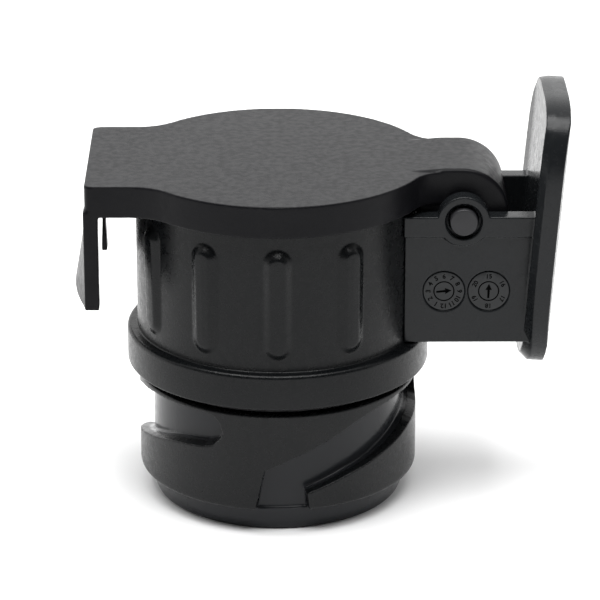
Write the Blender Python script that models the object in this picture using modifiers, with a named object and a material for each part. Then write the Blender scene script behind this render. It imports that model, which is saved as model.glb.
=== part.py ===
"""Short trailer wiring adapter: a 13-pin bayonet plug below, a 7-pin socket above under a sprung lid.

Metres, +Z up. The origin is on the plug's axis at its nose, +X points to the hinge and its stop plate.
The adapter stands on its nose with the lid shut and the core unturned.
"""

import math

import bmesh
import bpy
from mathutils import Matrix, Vector

MM = 0.001
GAP = 0.3 * MM

# Bayonet barrel (13-pin side)
BARREL_R = 24.0 * MM
BARREL_BOTTOM = 4.4 * MM
BARREL_TOP = 22.0 * MM
LIP_TOP_R = 22.3 * MM
LIP_FOOT_R = 21.4 * MM
NOSE_BORE_R = 18.6 * MM
CORE_BORE_R = 19.6 * MM
CORE_SEAT_Z = 16.2 * MM
SEAL_SEAT_R = 21.6 * MM
SEAL_OUTER_R = 23.1 * MM
SPIGOT_R = 20.9 * MM
SPIGOT_TOP = 26.6 * MM
GROOVE_FLOOR_R = 21.5 * MM
GROOVE_COUNT = 3
LEDGE_SLANT = 1.3 * MM
LEDGE_SLANT_START = 40.0
LEDGE_SLANT_END = 80.0

# Grip shell
FLANGE_R = 25.95 * MM
FLANGE_BOTTOM = 23.8 * MM
FLANGE_TOP = 30.0 * MM
SHOULDER_R = 1.7 * MM
GRIP_R = 24.2 * MM
SHELL_TOP = 54.0 * MM
SHELL_BORE_R = 21.8 * MM
COLLAR_R = 18.0 * MM
COLLAR_BOTTOM = 26.9 * MM
COLLAR_TOP = 31.0 * MM
RIB_ANGLES = (-150, -120, -60, -30, 0, 30, 150, 180)
RIB_HALF_WIDTH = 2.2 * MM
RIB_BOTTOM = 32.4 * MM
RIB_TOP = 51.8 * MM
RIB_PROUD_TOP = 0.85 * MM
RIB_PROUD_BOTTOM = 0.5 * MM

# 7-pin socket side
INSERT_WALL_R = 21.5 * MM
INSERT_BORE_R = 19.4 * MM
INSERT_BOTTOM = 31.3 * MM
INSERT_FLOOR = 34.3 * MM
INSERT_TOP = 53.4 * MM
CONTACT_R = 3.2 * MM
CONTACT_NECK_R = 2.3 * MM
CONTACT_BORE_R = 2.1 * MM
CONTACT_TOP = 47.0 * MM
CONTACT_BORE_DEPTH = 15.0 * MM
CONTACT_TAIL_R = 1.5 * MM
CONTACT_TAIL_END = 29.0 * MM
CONTACT_RING_R = 10.2 * MM
CONTACT_COUNT = 7

# 13-pin core
CORE_R = 19.3 * MM
CORE_BOTTOM = 16.5 * MM
CORE_TOP = 22.2 * MM
CORE_KEY_TOP_R = 12.0 * MM
PIN_R = 1.5 * MM
PIN_PLAY = 0.15 * MM
PIN_RING_R = 14.0 * MM
PIN_ANGLES = (30, 90, 150, 210, 270, 330, 0)
PIN_NOSE = 3.2 * MM
PIN_TAIL_END = 24.2 * MM
SNAP_RING_INNER = 17.0 * MM
SNAP_RING_BOTTOM = 22.5 * MM
SNAP_RING_TOP = 23.4 * MM
SNAP_RING_GAP = 3.0 * MM
LEAD_R = 0.6 * MM

# Lid
LID_R = 26.0 * MM
LID_BOTTOM = 54.3 * MM
LID_TOP = 59.8 * MM
LID_EDGE = 0.6 * MM
TAB_END_X = -32.1 * MM
TAB_HALF_WIDTH = 15.8 * MM
TAB_FILLET = 9.0 * MM
LEG_INNER_X = -29.9 * MM
LEG_BOTTOM = 37.8 * MM
LEG_DEPTH_Y = 2.6 * MM
SKIN_BOW = 2.5 * MM
SKIN_PROUD = 0.2 * MM
SKIN_THICK = 1.1 * MM
PRONG_X = -30.4 * MM
PRONG_HALVES = ((0.0, 0.55), (6.0, 0.25), (18.0, 0.45))
GASKET_R = 18.9 * MM
GASKET_BOTTOM = 52.4 * MM

# Hinge
PIN_AXIS_X = 31.2 * MM
PIN_AXIS_Z = 52.2 * MM
HINGE_PIN_R = 2.35 * MM
HINGE_PIN_HALF = 12.7 * MM
HINGE_BORE_R = 2.5 * MM
KNUCKLE_R = 7.6 * MM
KNUCKLE_HALF = 8.7 * MM
SPRING_ROOM_R = 5.2 * MM
SPRING_ROOM_HALF = 5.6 * MM
SPRING_R = 3.9 * MM
SPRING_WIRE_R = 0.5 * MM
SPRING_DOWN_LEG = ((0.6, 0, -5.0), (0.2, 0, -2.0))
SPRING_UP_LEG = (-0.4, 0, -1.8)
SPRING_TURNS = 5

# Bracket and stop plate
ARM_OUTER_Y = 11.6 * MM
ARM_INNER_Y = 9.0 * MM
ARM_BOTTOM = 30.3 * MM
ARM_TOP = 53.0 * MM
BAND_BOTTOM = 49.4 * MM
BAND_PROUD = 0.5 * MM
BOSS_R = 4.35 * MM
BOSS_RECESS_R = 3.1 * MM
SADDLE_THICK = 2.0 * MM
SADDLE_TOP = 44.0 * MM
PLATE_THICK = 4.1 * MM
PLATE_FOOT_X = 41.25 * MM
PLATE_BOTTOM = 23.9 * MM
PLATE_TOP = 72.2 * MM
PLATE_HALF_WIDTH = 15.8 * MM
PLATE_CREASE_Y = 11.6 * MM
PLATE_WING_BEND = 0.19
PLATE_LEAN = math.radians(4.2)

SEGMENTS = 72


def clear_scene():
    for obj in list(bpy.data.objects):
        bpy.data.objects.remove(obj, do_unlink=True)


def new_collection(name):
    collection = bpy.data.collections.new(name)
    bpy.context.scene.collection.children.link(collection)
    return collection


clear_scene()
PARTS = new_collection("trailer_wiring_connector")
CUTTERS = new_collection("cutters")


def material(name, colour, roughness, metallic=0.0):
    mat = bpy.data.materials.new(name)
    mat.use_nodes = True
    shader = mat.node_tree.nodes["Principled BSDF"]
    shader.inputs["Base Color"].default_value = (*colour, 1.0)
    shader.inputs["Roughness"].default_value = roughness
    shader.inputs["Metallic"].default_value = metallic
    return mat


def finish(obj, mat):
    """Gives a part its own copy of a material and smooth shading between its sharp edges."""
    obj.data.materials.clear()
    own = mat.copy()
    own.name = obj.name
    obj.data.materials.append(own)
    obj.data.shade_smooth()
    obj.data.set_sharp_from_angle(angle=math.radians(35))
    return obj


def add_mesh(name, mesh, collection):
    mesh.name = name
    obj = bpy.data.objects.new(name, mesh)
    collection.objects.link(obj)
    if collection is CUTTERS:
        obj.hide_render = True
        obj.display_type = "WIRE"
    return obj


def face_out(bm):
    """Turns every face of a closed mesh outwards."""
    bmesh.ops.recalc_face_normals(bm, faces=bm.faces)
    if bm.calc_volume(signed=True) < 0:
        bmesh.ops.reverse_faces(bm, faces=bm.faces)


def mesh_of(bm):
    mesh = bpy.data.meshes.new("mesh")
    face_out(bm)
    bm.to_mesh(mesh)
    bm.free()
    return mesh


def turned(name, profile, collection, steps=SEGMENTS):
    """A ring turned about Z from a closed outline of (radius, height), outer side first and downwards."""
    mesh = bpy.data.meshes.new(name)
    edges = [(i, (i + 1) % len(profile)) for i in range(len(profile))]
    mesh.from_pydata([(r, 0.0, z) for r, z in profile], edges, [])
    obj = add_mesh(name, mesh, collection)
    return screw(obj, steps)


def turned_solid(name, profile, collection, steps=SEGMENTS):
    """A solid turned about Z from an open outline of (radius, height) whose two ends lie on the axis."""
    mesh = bpy.data.meshes.new(name)
    edges = [(i, i + 1) for i in range(len(profile) - 1)]
    mesh.from_pydata([(r, 0.0, z) for r, z in profile], edges, [])
    obj = add_mesh(name, mesh, collection)
    return screw(obj, steps)


def screw(obj, steps):
    spin = obj.modifiers.new("turn", "SCREW")
    spin.steps = spin.render_steps = steps
    spin.use_merge_vertices = True
    spin.merge_threshold = 0.00001
    return obj


def cylinder(name, radius, low, high, collection, steps=32):
    bm = bmesh.new()
    bmesh.ops.create_cone(
        bm, cap_ends=True, segments=steps, radius1=radius, radius2=radius, depth=high - low
    )
    bmesh.ops.translate(bm, verts=bm.verts, vec=(0, 0, (low + high) / 2))
    return add_mesh(name, mesh_of(bm), collection)


def block(name, low, high, collection):
    bm = bmesh.new()
    bmesh.ops.create_cube(bm, size=1.0)
    low, high = Vector(low), Vector(high)
    bmesh.ops.scale(bm, vec=high - low, verts=bm.verts)
    bmesh.ops.translate(bm, vec=(low + high) / 2, verts=bm.verts)
    return add_mesh(name, mesh_of(bm), collection)


def bevel(obj, width, segments=2, angle=40):
    edge = obj.modifiers.new("edge", "BEVEL")
    edge.width = width
    edge.segments = segments
    edge.limit_method = "ANGLE"
    edge.angle_limit = math.radians(angle)
    return obj


def baked(obj):
    """Replaces an object by a mesh of its evaluated shape, so that it can be cut, joined or bent."""
    graph = bpy.context.evaluated_depsgraph_get()
    mesh = bpy.data.meshes.new_from_object(obj.evaluated_get(graph))
    bm = bmesh.new()
    bm.from_mesh(mesh)
    bmesh.ops.remove_doubles(bm, verts=bm.verts, dist=0.000001)
    bm.to_mesh(mesh)
    bm.free()
    name = obj.name
    collection = obj.users_collection[0]
    place = obj.matrix_world.copy()
    bpy.data.objects.remove(obj, do_unlink=True)
    result = add_mesh(name, mesh, collection)
    result.matrix_world = place
    return result


def prism(name, outline, thickness, collection):
    """A flat outline in XY made solid, centred on Z = 0."""
    curve = bpy.data.curves.new(name, "CURVE")
    curve.dimensions = "2D"
    curve.fill_mode = "BOTH"
    curve.extrude = thickness / 2
    spline = curve.splines.new("POLY")
    spline.points.add(len(outline) - 1)
    for point, (x, y) in zip(spline.points, outline):
        point.co = (x, y, 0.0, 1.0)
    spline.use_cyclic_u = True
    obj = bpy.data.objects.new(name, curve)
    collection.objects.link(obj)
    bpy.context.view_layer.update()
    return baked(obj)


def boolean(target, other, operation):
    change = target.modifiers.new(operation.lower(), "BOOLEAN")
    change.operation = operation
    change.object = other
    return target


def cut(target, *cutters):
    for cutter in cutters:
        boolean(target, cutter, "DIFFERENCE")
    return target


def join(target, *others):
    for other in others:
        boolean(target, other, "UNION")
    return target


def polar(radius, degrees):
    """A point at this radius, with 0 degrees at -Y (the front) and positive angles turning to +X."""
    angle = math.radians(degrees)
    return Vector((radius * math.sin(angle), -radius * math.cos(angle), 0.0))


def arc(centre, radius, start, end, count):
    """Points along an arc, angles in degrees from +X."""
    step = (end - start) / (count - 1)
    angles = [math.radians(start + step * i) for i in range(count)]
    return [(centre[0] + radius * math.cos(a), centre[1] + radius * math.sin(a)) for a in angles]


def tube(name, points, radius, collection, sides=2):
    """A round wire along a list of points."""
    curve = bpy.data.curves.new(name, "CURVE")
    curve.dimensions = "3D"
    curve.bevel_depth = radius
    curve.bevel_resolution = sides
    curve.use_fill_caps = True
    spline = curve.splines.new("POLY")
    spline.points.add(len(points) - 1)
    for point, place in zip(spline.points, points):
        point.co = (*place, 1.0)
    obj = bpy.data.objects.new(name, curve)
    collection.objects.link(obj)
    bpy.context.view_layer.update()
    return baked(obj)


BLACK_GRAINED = material("black_grained", (0.02, 0.02, 0.021), 0.5)
BLACK_SMOOTH = material("black_smooth", (0.018, 0.018, 0.02), 0.35)
RUBBER = material("rubber", (0.014, 0.014, 0.014), 0.75)
BRASS = material("brass", (0.62, 0.45, 0.2), 0.3, 1.0)
STEEL = material("steel", (0.55, 0.55, 0.56), 0.3, 1.0)
INSERT = material("insert", (0.03, 0.03, 0.032), 0.45)
LEAD = material("lead", (0.25, 0.05, 0.04), 0.5)


def wrap(obj, inner, outer, step_degrees=5.0):
    """Bends a flat plate onto the barrel: X is degrees round the axis, Y is height, Z is depth.
    Towards the end the lower wall leans back, so the floor's edge lies higher than the rim's."""
    bm = bmesh.new()
    bm.from_mesh(obj.data)
    low = min(v.co.x for v in bm.verts)
    high = max(v.co.x for v in bm.verts)
    for i in range(1, int((high - low) / step_degrees) + 1):
        geometry = bm.verts[:] + bm.edges[:] + bm.faces[:]
        place = (low + i * step_degrees, 0, 0)
        bmesh.ops.bisect_plane(bm, geom=geometry, plane_co=place, plane_no=(1, 0, 0), dist=0.01)
    for vert in bm.verts:
        degrees, height = vert.co.x, vert.co.y
        radius = outer
        if vert.co.z < 0:
            radius = inner
            height += ledge_rise(degrees, height)
        vert.co = polar(radius, degrees) + Vector((0, 0, height))
    face_out(bm)
    bm.to_mesh(obj.data)
    bm.free()
    return obj


def smooth(share):
    share = min(max(share, 0.0), 1.0)
    return share * share * (3 - 2 * share)


def ledge_rise(degrees, height):
    """How much higher the floor's lower edge is than the rim's, at this angle along the groove."""
    middle = (8.8 + 0.0917 * degrees) * MM
    if height > middle:
        return 0.0
    return LEDGE_SLANT * smooth((degrees - LEDGE_SLANT_START) / (LEDGE_SLANT_END - LEDGE_SLANT_START))


def groove_outline():
    """One bayonet groove unrolled, in degrees round the barrel and metres of height."""
    mouth = [(-9.5, 4.2), (13.0, 4.2), (12.0, 7.6)]
    lower = mouth + [(30.0, 10.0), (48.0, 11.9), (70.0, 13.5), (88.0, 14.4)]
    end = [(94.5, 15.4), (97.0, 17.9), (94.5, 20.4)]
    upper = [(88.0, 21.3), (60.0, 21.2), (44.0, 20.5), (34.0, 19.3), (12.0, 15.2), (-5.6, 11.8)]
    return [(angle, height * MM) for angle, height in lower + end + upper]


def make_barrel():
    """The bayonet barrel: a thick ring with a lip at the nose and a spigot that enters the shell."""
    profile = [
        (SPIGOT_R, SPIGOT_TOP),
        (SPIGOT_R, FLANGE_BOTTOM - GAP),
        (SEAL_SEAT_R, FLANGE_BOTTOM - GAP),
        (SEAL_SEAT_R, BARREL_TOP),
        (BARREL_R - 0.2 * MM, BARREL_TOP),
        (BARREL_R, BARREL_TOP - 0.3 * MM),
        (BARREL_R, BARREL_BOTTOM + 0.8 * MM),
        (BARREL_R - 0.5 * MM, BARREL_BOTTOM),
        (LIP_TOP_R, BARREL_BOTTOM),
        (LIP_TOP_R, BARREL_BOTTOM - 0.6 * MM),
        (LIP_FOOT_R + 0.3 * MM, 0.7 * MM),
        (LIP_FOOT_R - 0.3 * MM, 0.0),
        (NOSE_BORE_R + 0.5 * MM, 0.0),
        (NOSE_BORE_R, 0.6 * MM),
        (NOSE_BORE_R, CORE_SEAT_Z),
        (CORE_BORE_R, CORE_SEAT_Z),
        (CORE_BORE_R, SPIGOT_TOP),
    ]
    barrel = turned("bayonet_barrel", profile, PARTS)
    for number in range(GROOVE_COUNT):
        groove = prism(f"groove_{number + 1}", groove_outline(), 1.0, CUTTERS)
        wrap(groove, GROOVE_FLOOR_R, BARREL_R + 2 * MM)
        groove.rotation_euler = (0, 0, 2 * math.pi / GROOVE_COUNT * number)
        cut(barrel, groove)
    return finish(barrel, BLACK_GRAINED)


def make_seal():
    """The rubber ring between the barrel and the flange."""
    low, high = BARREL_TOP + GAP, FLANGE_BOTTOM - GAP
    inner, outer = SEAL_SEAT_R + GAP, SEAL_OUTER_R
    edge = outer - 0.3 * MM
    middle = (low + high) / 2
    profile = [(edge, high), (outer, middle), (edge, low), (inner, low), (inner, high)]
    return finish(turned("flange_seal", profile, PARTS, 40), RUBBER)


def rib(number, degrees):
    """A half-round grip rib, lying on the shell and standing a little prouder at its top."""
    height = RIB_TOP - RIB_BOTTOM
    drop = RIB_HALF_WIDTH
    bm = bmesh.new()
    bmesh.ops.create_uvsphere(bm, u_segments=16, v_segments=8, radius=RIB_HALF_WIDTH)
    stretch = height / 2 - drop
    for vert in bm.verts:
        if abs(vert.co.z) > 0.0001 * MM:
            vert.co.z += math.copysign(stretch, vert.co.z)
    for vert in bm.verts:
        share = (vert.co.z + height / 2) / height
        proud = RIB_PROUD_BOTTOM + (RIB_PROUD_TOP - RIB_PROUD_BOTTOM) * share
        if vert.co.y < 0:
            vert.co.y *= proud / RIB_HALF_WIDTH
    ridge = add_mesh(f"rib_{number}", mesh_of(bm), CUTTERS)
    place = polar(GRIP_R - 0.15 * MM, degrees)
    ridge.location = (place.x, place.y, (RIB_TOP + RIB_BOTTOM) / 2)
    ridge.rotation_euler = (0, 0, math.radians(degrees))
    return ridge


def make_shell():
    """The grip shell: ribbed cylinder, rounded flange, and a collar that carries both inserts."""
    shoulder = [
        (FLANGE_R - SHOULDER_R + r, FLANGE_TOP - SHOULDER_R + z)
        for r, z in reversed(arc((0, 0), SHOULDER_R, 0, 90, 6))
    ]
    profile = [
        (GRIP_R - 0.3 * MM, SHELL_TOP),
        (GRIP_R, SHELL_TOP - 0.3 * MM),
        (GRIP_R, FLANGE_TOP),
        *shoulder,
        (FLANGE_R, FLANGE_BOTTOM + 0.6 * MM),
        (FLANGE_R - 0.6 * MM, FLANGE_BOTTOM),
        (SPIGOT_R + GAP, FLANGE_BOTTOM),
        (SPIGOT_R + GAP, COLLAR_BOTTOM),
        (COLLAR_R, COLLAR_BOTTOM),
        (COLLAR_R, COLLAR_TOP),
        (SHELL_BORE_R, COLLAR_TOP),
        (SHELL_BORE_R, SHELL_TOP),
    ]
    shell = turned("grip_shell", profile, PARTS)
    for number, degrees in enumerate(RIB_ANGLES, 1):
        join(shell, rib(number, degrees))
    room_r, room_half = KNUCKLE_R + 2 * GAP, KNUCKLE_HALF + 2 * GAP
    cut(shell, side_cylinder("knuckle_swing_room", room_r, room_half, CUTTERS))
    return finish(shell, BLACK_GRAINED)


def contact_places():
    """Six socket contacts on a circle and the seventh in the middle."""
    ring = [polar(CONTACT_RING_R, 30 + 60 * i) for i in range(CONTACT_COUNT - 1)]
    return ring + [Vector((0, 0, 0))]


def make_socket_insert():
    """The 7-pin socket's cup: a floor drilled for the contacts, and the wall that guides the plug."""
    profile = [
        (0, INSERT_FLOOR),
        (INSERT_BORE_R, INSERT_FLOOR),
        (INSERT_BORE_R, INSERT_TOP),
        (INSERT_WALL_R, INSERT_TOP),
        (INSERT_WALL_R, INSERT_BOTTOM),
        (0, INSERT_BOTTOM),
    ]
    cup = turned_solid("socket_insert", profile, PARTS, 60)
    key = block(
        "insert_key",
        (-1.4 * MM, -INSERT_BORE_R - 0.5 * MM, INSERT_FLOOR - 0.5 * MM),
        (1.4 * MM, -INSERT_BORE_R + 1.6 * MM, INSERT_TOP - 3 * MM),
        CUTTERS,
    )
    join(cup, key)
    low, high = INSERT_BOTTOM - 1 * MM, INSERT_FLOOR + 1 * MM
    for number, place in enumerate(contact_places(), 1):
        hole = cylinder(f"contact_hole_{number}", CONTACT_NECK_R + GAP, low, high, CUTTERS, 24)
        hole.location = place
        cut(cup, hole)
    return finish(cup, INSERT)


def make_contacts():
    """Brass sleeves that stand on the insert's floor, each with a tail for its lead."""
    neck = CONTACT_NECK_R
    profile = [
        (0, CONTACT_TOP - CONTACT_BORE_DEPTH),
        (CONTACT_BORE_R, CONTACT_TOP - CONTACT_BORE_DEPTH),
        (CONTACT_BORE_R, CONTACT_TOP - 0.4 * MM),
        (CONTACT_BORE_R + 0.4 * MM, CONTACT_TOP),
        (CONTACT_R - 0.3 * MM, CONTACT_TOP),
        (CONTACT_R, CONTACT_TOP - 0.3 * MM),
        (CONTACT_R, INSERT_FLOOR + GAP),
        (neck, INSERT_FLOOR + GAP),
        (neck, INSERT_BOTTOM - 0.5 * MM),
        (CONTACT_TAIL_R, INSERT_BOTTOM - 0.5 * MM),
        (CONTACT_TAIL_R, CONTACT_TAIL_END),
        (0, CONTACT_TAIL_END),
    ]
    for number, place in enumerate(contact_places(), 1):
        contact = turned_solid(f"socket_contact_{number}", profile, PARTS, 14)
        contact.location = place
        finish(contact, BRASS)


def pin_places():
    """Each pin lies outside its own socket contact, and the last serves the middle one."""
    return [polar(PIN_RING_R, degrees) for degrees in PIN_ANGLES]


def make_core():
    """The 13-pin insert, which turns in the barrel, with its pins and the snap ring over it."""
    profile = [
        (0, CORE_TOP),
        (CORE_R - 1.2 * MM, CORE_TOP),
        (CORE_R, CORE_TOP - 1.0 * MM),
        (CORE_R, CORE_BOTTOM),
        (CORE_KEY_TOP_R - 3.0 * MM, CORE_BOTTOM),
        (CORE_KEY_TOP_R - 3.5 * MM, CORE_BOTTOM - 1.2 * MM),
        (0, CORE_BOTTOM - 1.2 * MM),
    ]
    core = turned_solid("plug_insert", profile, PARTS, 48)
    hole_r, low, high = PIN_R + PIN_PLAY, CORE_BOTTOM - 3 * MM, CORE_TOP + 1 * MM
    for number, place in enumerate(pin_places(), 1):
        hole = cylinder(f"pin_hole_{number}", hole_r, low, high, CUTTERS, 16)
        hole.location = place
        cut(core, hole)
    finish(core, INSERT)
    pin_profile = [
        (0, PIN_TAIL_END),
        (PIN_R - 0.3 * MM, PIN_TAIL_END),
        (PIN_R, PIN_TAIL_END - 0.3 * MM),
        (PIN_R, PIN_NOSE + 1.0 * MM),
        (PIN_R - 0.5 * MM, PIN_NOSE + 0.2 * MM),
        (0, PIN_NOSE),
    ]
    for number, place in enumerate(pin_places(), 1):
        pin = turned_solid(f"plug_pin_{number}", pin_profile, PARTS, 12)
        pin.location = place
        finish(pin, BRASS)
    ring_profile = [
        (CORE_R, SNAP_RING_TOP),
        (CORE_R, SNAP_RING_BOTTOM),
        (SNAP_RING_INNER, SNAP_RING_BOTTOM),
        (SNAP_RING_INNER, SNAP_RING_TOP),
    ]
    ring = turned("snap_ring", ring_profile, PARTS, 40)
    slot = block(
        "snap_ring_slot",
        (-CORE_R - 2 * MM, -SNAP_RING_GAP / 2, SNAP_RING_BOTTOM - 1 * MM),
        (-10 * MM, SNAP_RING_GAP / 2, SNAP_RING_TOP + 1 * MM),
        CUTTERS,
    )
    finish(cut(ring, slot), STEEL)


def make_leads():
    """Short insulated leads from each pin's tail to its socket contact's tail."""
    for number, (pin, contact) in enumerate(zip(pin_places(), contact_places()), 1):
        low = pin + Vector((0, 0, PIN_TAIL_END + GAP))
        high = contact + Vector((0, 0, CONTACT_TAIL_END - GAP))
        points = []
        for i in range(9):
            share = i / 8
            ease = share * share * (3 - 2 * share)
            across = low.lerp(high, ease)
            points.append((across.x, across.y, low.z + (high.z - low.z) * share))
        finish(tube(f"link_lead_{number}", points, LEAD_R, PARTS, 1), LEAD)


def lid_outline():
    """The lid from above: a disc with a straight tab to -X, joined by concave fillets."""
    reach = LID_R + TAB_FILLET
    side = TAB_HALF_WIDTH + TAB_FILLET
    centre_x = -math.sqrt(reach * reach - side * side)
    touch = math.degrees(math.atan2(side, centre_x))
    upper = arc((0, 0), LID_R, -touch, touch, 60)
    blend = arc((centre_x, side), TAB_FILLET, touch - 180, -90, 6)
    lower_blend = [(x, -y) for x, y in reversed(blend)]
    corners = arc((TAB_END_X + 1.0 * MM, TAB_HALF_WIDTH - 1.0 * MM), 1.0 * MM, 90, 180, 3)
    lower_corners = [(x, -y) for x, y in reversed(corners)]
    return upper + blend + corners + lower_corners + lower_blend


def bowed_skin():
    """The outer face of the tab's hook: flat at the tab, bowed outwards at its foot."""
    high, low = LID_BOTTOM + 1.0 * MM, LEG_BOTTOM + 0.3 * MM
    half_width = TAB_HALF_WIDTH - 0.4 * MM
    bm = bmesh.new()
    rows = []
    for j in range(7):
        fall = j / 6
        row = []
        for i in range(13):
            across = i / 6 - 1
            bow = SKIN_BOW * (1 - across * across) * fall
            x = TAB_END_X - SKIN_PROUD * fall - bow
            row.append(bm.verts.new((x, across * half_width, high + (low - high) * fall)))
        rows.append(row)
    for above, below in zip(rows, rows[1:]):
        for i in range(len(above) - 1):
            bm.faces.new((above[i], above[i + 1], below[i + 1], below[i]))
    skin = add_mesh("hook_skin", mesh_of(bm), CUTTERS)
    if skin.data.polygons[0].normal.x > 0:
        skin.data.flip_normals()
    thick = skin.modifiers.new("thickness", "SOLIDIFY")
    thick.thickness = SKIN_THICK
    thick.offset = -1.0
    return skin


def side_cylinder(name, radius, half, collection, steps=48):
    """A cylinder along Y about the hinge axis."""
    rod = cylinder(name, radius, -half, half, collection, steps)
    rod.rotation_euler = (math.radians(90), 0, 0)
    rod.location = (PIN_AXIS_X, 0, PIN_AXIS_Z)
    return rod


def make_lid():
    """The lid: disc and tab, hook at the tab's end, and the knuckle that holds the spring."""
    thickness = LID_TOP - LID_BOTTOM
    plate = prism("lid", lid_outline(), thickness, PARTS)
    for vert in plate.data.vertices:
        vert.co.z += (LID_TOP + LID_BOTTOM) / 2
    top_edges = bmesh.new()
    top_edges.from_mesh(plate.data)
    rim = [
        edge for edge in top_edges.edges
        if all(v.co.z > LID_TOP - 0.01 * MM for v in edge.verts) and edge.calc_face_angle(0) > 1.0
    ]
    bmesh.ops.bevel(top_edges, geom=rim, offset=LID_EDGE, segments=3, profile=0.5, affect="EDGES")
    bmesh.ops.recalc_face_normals(top_edges, faces=top_edges.faces)
    top_edges.to_mesh(plate.data)
    top_edges.free()

    knuckle = side_cylinder("lid_knuckle", KNUCKLE_R, KNUCKLE_HALF, CUTTERS)
    neck = block(
        "lid_neck",
        (20 * MM, -KNUCKLE_HALF, LID_BOTTOM + 0.2 * MM),
        (PIN_AXIS_X, KNUCKLE_HALF, PIN_AXIS_Z + KNUCKLE_R - 0.05 * MM),
        CUTTERS,
    )
    leg = block(
        "lid_leg",
        (TAB_END_X - 0.3 * MM, -TAB_HALF_WIDTH + 0.1 * MM, LEG_BOTTOM),
        (LEG_INNER_X, -TAB_HALF_WIDTH + LEG_DEPTH_Y, LID_BOTTOM + 1 * MM),
        CUTTERS,
    )
    prong_side = [(half * MM, height * MM) for height, half in PRONG_HALVES]
    prong_outline = prong_side + [(-x, z) for x, z in reversed(prong_side)]
    prong = prism("lid_prong", prong_outline, LEG_DEPTH_Y, CUTTERS)
    prong.rotation_euler = (math.radians(90), 0, 0)
    prong.location = (PRONG_X, TAB_HALF_WIDTH - LEG_DEPTH_Y / 2 - 0.1 * MM, LEG_BOTTOM)
    join(plate, knuckle, neck, leg, bowed_skin(), prong)

    room = side_cylinder("spring_room", SPRING_ROOM_R, SPRING_ROOM_HALF, CUTTERS)
    mouth = block(
        "spring_mouth",
        (PIN_AXIS_X - SPRING_ROOM_R, -SPRING_ROOM_HALF, PIN_AXIS_Z - 12 * MM),
        (PIN_AXIS_X + SPRING_ROOM_R, SPRING_ROOM_HALF, PIN_AXIS_Z),
        CUTTERS,
    )
    bore = side_cylinder("knuckle_bore", HINGE_BORE_R, KNUCKLE_HALF + 1 * MM, CUTTERS, 32)
    shell_room = cylinder("shell_room", GRIP_R + 0.4 * MM, 40 * MM, LID_BOTTOM, CUTTERS, SEGMENTS)
    cut(plate, room, mouth, bore, shell_room)
    return finish(plate, BLACK_GRAINED)


def make_gasket():
    profile = [
        (0, LID_BOTTOM - GAP),
        (GASKET_R, LID_BOTTOM - GAP),
        (GASKET_R, GASKET_BOTTOM + 0.8 * MM),
        (GASKET_R - 0.8 * MM, GASKET_BOTTOM),
        (GASKET_R - 3.0 * MM, GASKET_BOTTOM),
        (GASKET_R - 3.4 * MM, GASKET_BOTTOM + 0.9 * MM),
        (0, GASKET_BOTTOM + 0.9 * MM),
    ]
    return finish(turned_solid("lid_gasket", profile, PARTS, 40), RUBBER)


def plate_outline():
    """The stop plate seen along X: a rounded oblong, squarer at its top and narrowing to its foot."""
    upper_power, lower_power = 3.8, 2.4
    middle = (PLATE_TOP + PLATE_BOTTOM) / 2
    half_height = (PLATE_TOP - PLATE_BOTTOM) / 2
    steps = 26
    right = []
    for i in range(steps + 1):
        angle = math.pi * (i / steps - 0.5)
        power = upper_power if angle > 0 else lower_power
        across = PLATE_HALF_WIDTH * math.cos(angle) ** (2 / power)
        rise = half_height * math.copysign(abs(math.sin(angle)) ** (2 / power), angle)
        right.append((across, middle + rise))
    return right + [(-y, z) for y, z in reversed(right[1:-1])]


def bend_wings(obj):
    """Creases the plate in line with the arms' outer faces and bends its two wings towards the shell."""
    bm = bmesh.new()
    bm.from_mesh(obj.data)
    for side in (-1, 1):
        geometry = bm.verts[:] + bm.edges[:] + bm.faces[:]
        place = (0, side * PLATE_CREASE_Y, 0)
        bmesh.ops.bisect_plane(bm, geom=geometry, plane_co=place, plane_no=(0, 1, 0), dist=0.000001)
    for vert in bm.verts:
        vert.co.x -= PLATE_WING_BEND * max(abs(vert.co.y) - PLATE_CREASE_Y, 0.0)
    bm.to_mesh(obj.data)
    bm.free()
    return obj


def stop_plate():
    """The plate stands on its foot, leaning away from the shell, with its edges rounded."""
    plate = prism("hinge_bracket", plate_outline(), PLATE_THICK, PARTS)
    upright = Matrix(((0, 0, 1, 0), (1, 0, 0, 0), (0, 1, 0, 0), (0, 0, 0, 1)))
    plate.data.transform(upright)
    bend_wings(plate)
    plate.data.transform(Matrix.Translation((PLATE_THICK / 2, 0, -PLATE_BOTTOM)))
    plate.data.transform(Matrix.Rotation(PLATE_LEAN, 4, "Y"))
    plate.data.transform(Matrix.Translation((PLATE_FOOT_X, 0, PLATE_BOTTOM)))
    return baked(bevel(plate, 0.5 * MM, 1, 60))


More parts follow.
